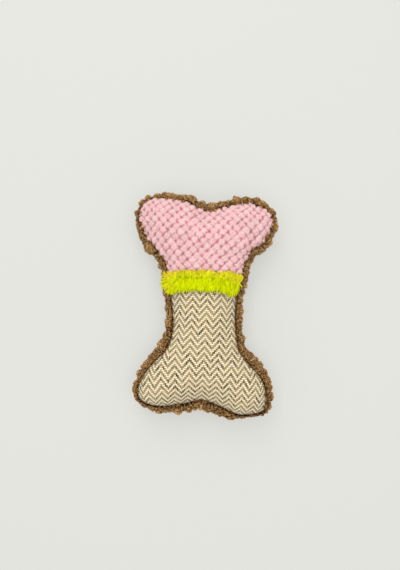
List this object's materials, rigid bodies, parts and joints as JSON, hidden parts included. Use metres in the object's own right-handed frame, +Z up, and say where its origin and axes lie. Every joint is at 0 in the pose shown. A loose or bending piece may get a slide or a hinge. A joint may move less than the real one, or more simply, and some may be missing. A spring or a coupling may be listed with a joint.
{
  "type": "plush bone dog toy",
  "caption": "Stuffed bone toy with a bobbled plush end, a long-pile strip across the waist, a herringbone end, curly fleece edging and back, and a squeaker inside.",
  "frame": {"origin": "centre of the flat that the toy lies on, at the bottom centre of its bounding box", "axes": "+Z up out of the face, +Y along the bone to the bobbled end, +X across the bone to the right with the face towards the viewer and the bobbled end up"},
  "size_m": [0.15, 0.24, 0.0597],
  "materials": {
    "bobble_plush": "plush with rounded bobbles",
    "long_pile": "long combed pile",
    "herringbone_weave": "cream and tan herringbone weave",
    "curly_fleece": "curly fleece",
    "fibre_fill": "loose polyester fibre",
    "bladder_plastic": "soft moulded plastic",
    "holder_plastic": "moulded plastic",
    "reed_film": "thin springy film"
  },
  "bodies": {
    "stuffed_cover": {"bobble_plush_panel": "bobble_plush", "long_pile_strip": "long_pile", "herringbone_panel": "herringbone_weave", "fleece_edging": "curly_fleece", "fleece_back_panel": "curly_fleece", "fibre_fill": "fibre_fill", "squeaker_bladder": "bladder_plastic"},
    "reed_insert": {"squeaker_reed_holder": "holder_plastic", "squeaker_reed_bed": "holder_plastic", "squeaker_reed_clamp": "holder_plastic"},
    "reed": {"squeaker_reed": "reed_film"}
  },
  "joints": [
    {"name": "squeaker_squeeze", "type": "slide", "parent": "stuffed_cover", "child": "reed_insert", "axis": [0, 0, -1], "range_m": [0, 0.008], "stiffness_N_per_m": 400, "deforming": ["squeaker_bladder"]},
    {"name": "reed_flutter", "type": "hinge", "parent": "reed_insert", "child": "reed", "pos_m": [0, 0, 0.03988], "axis": [1, 0, 0], "range_deg": [0, 5], "stiffness_Nm_per_rad": 0.0005}
  ]
}
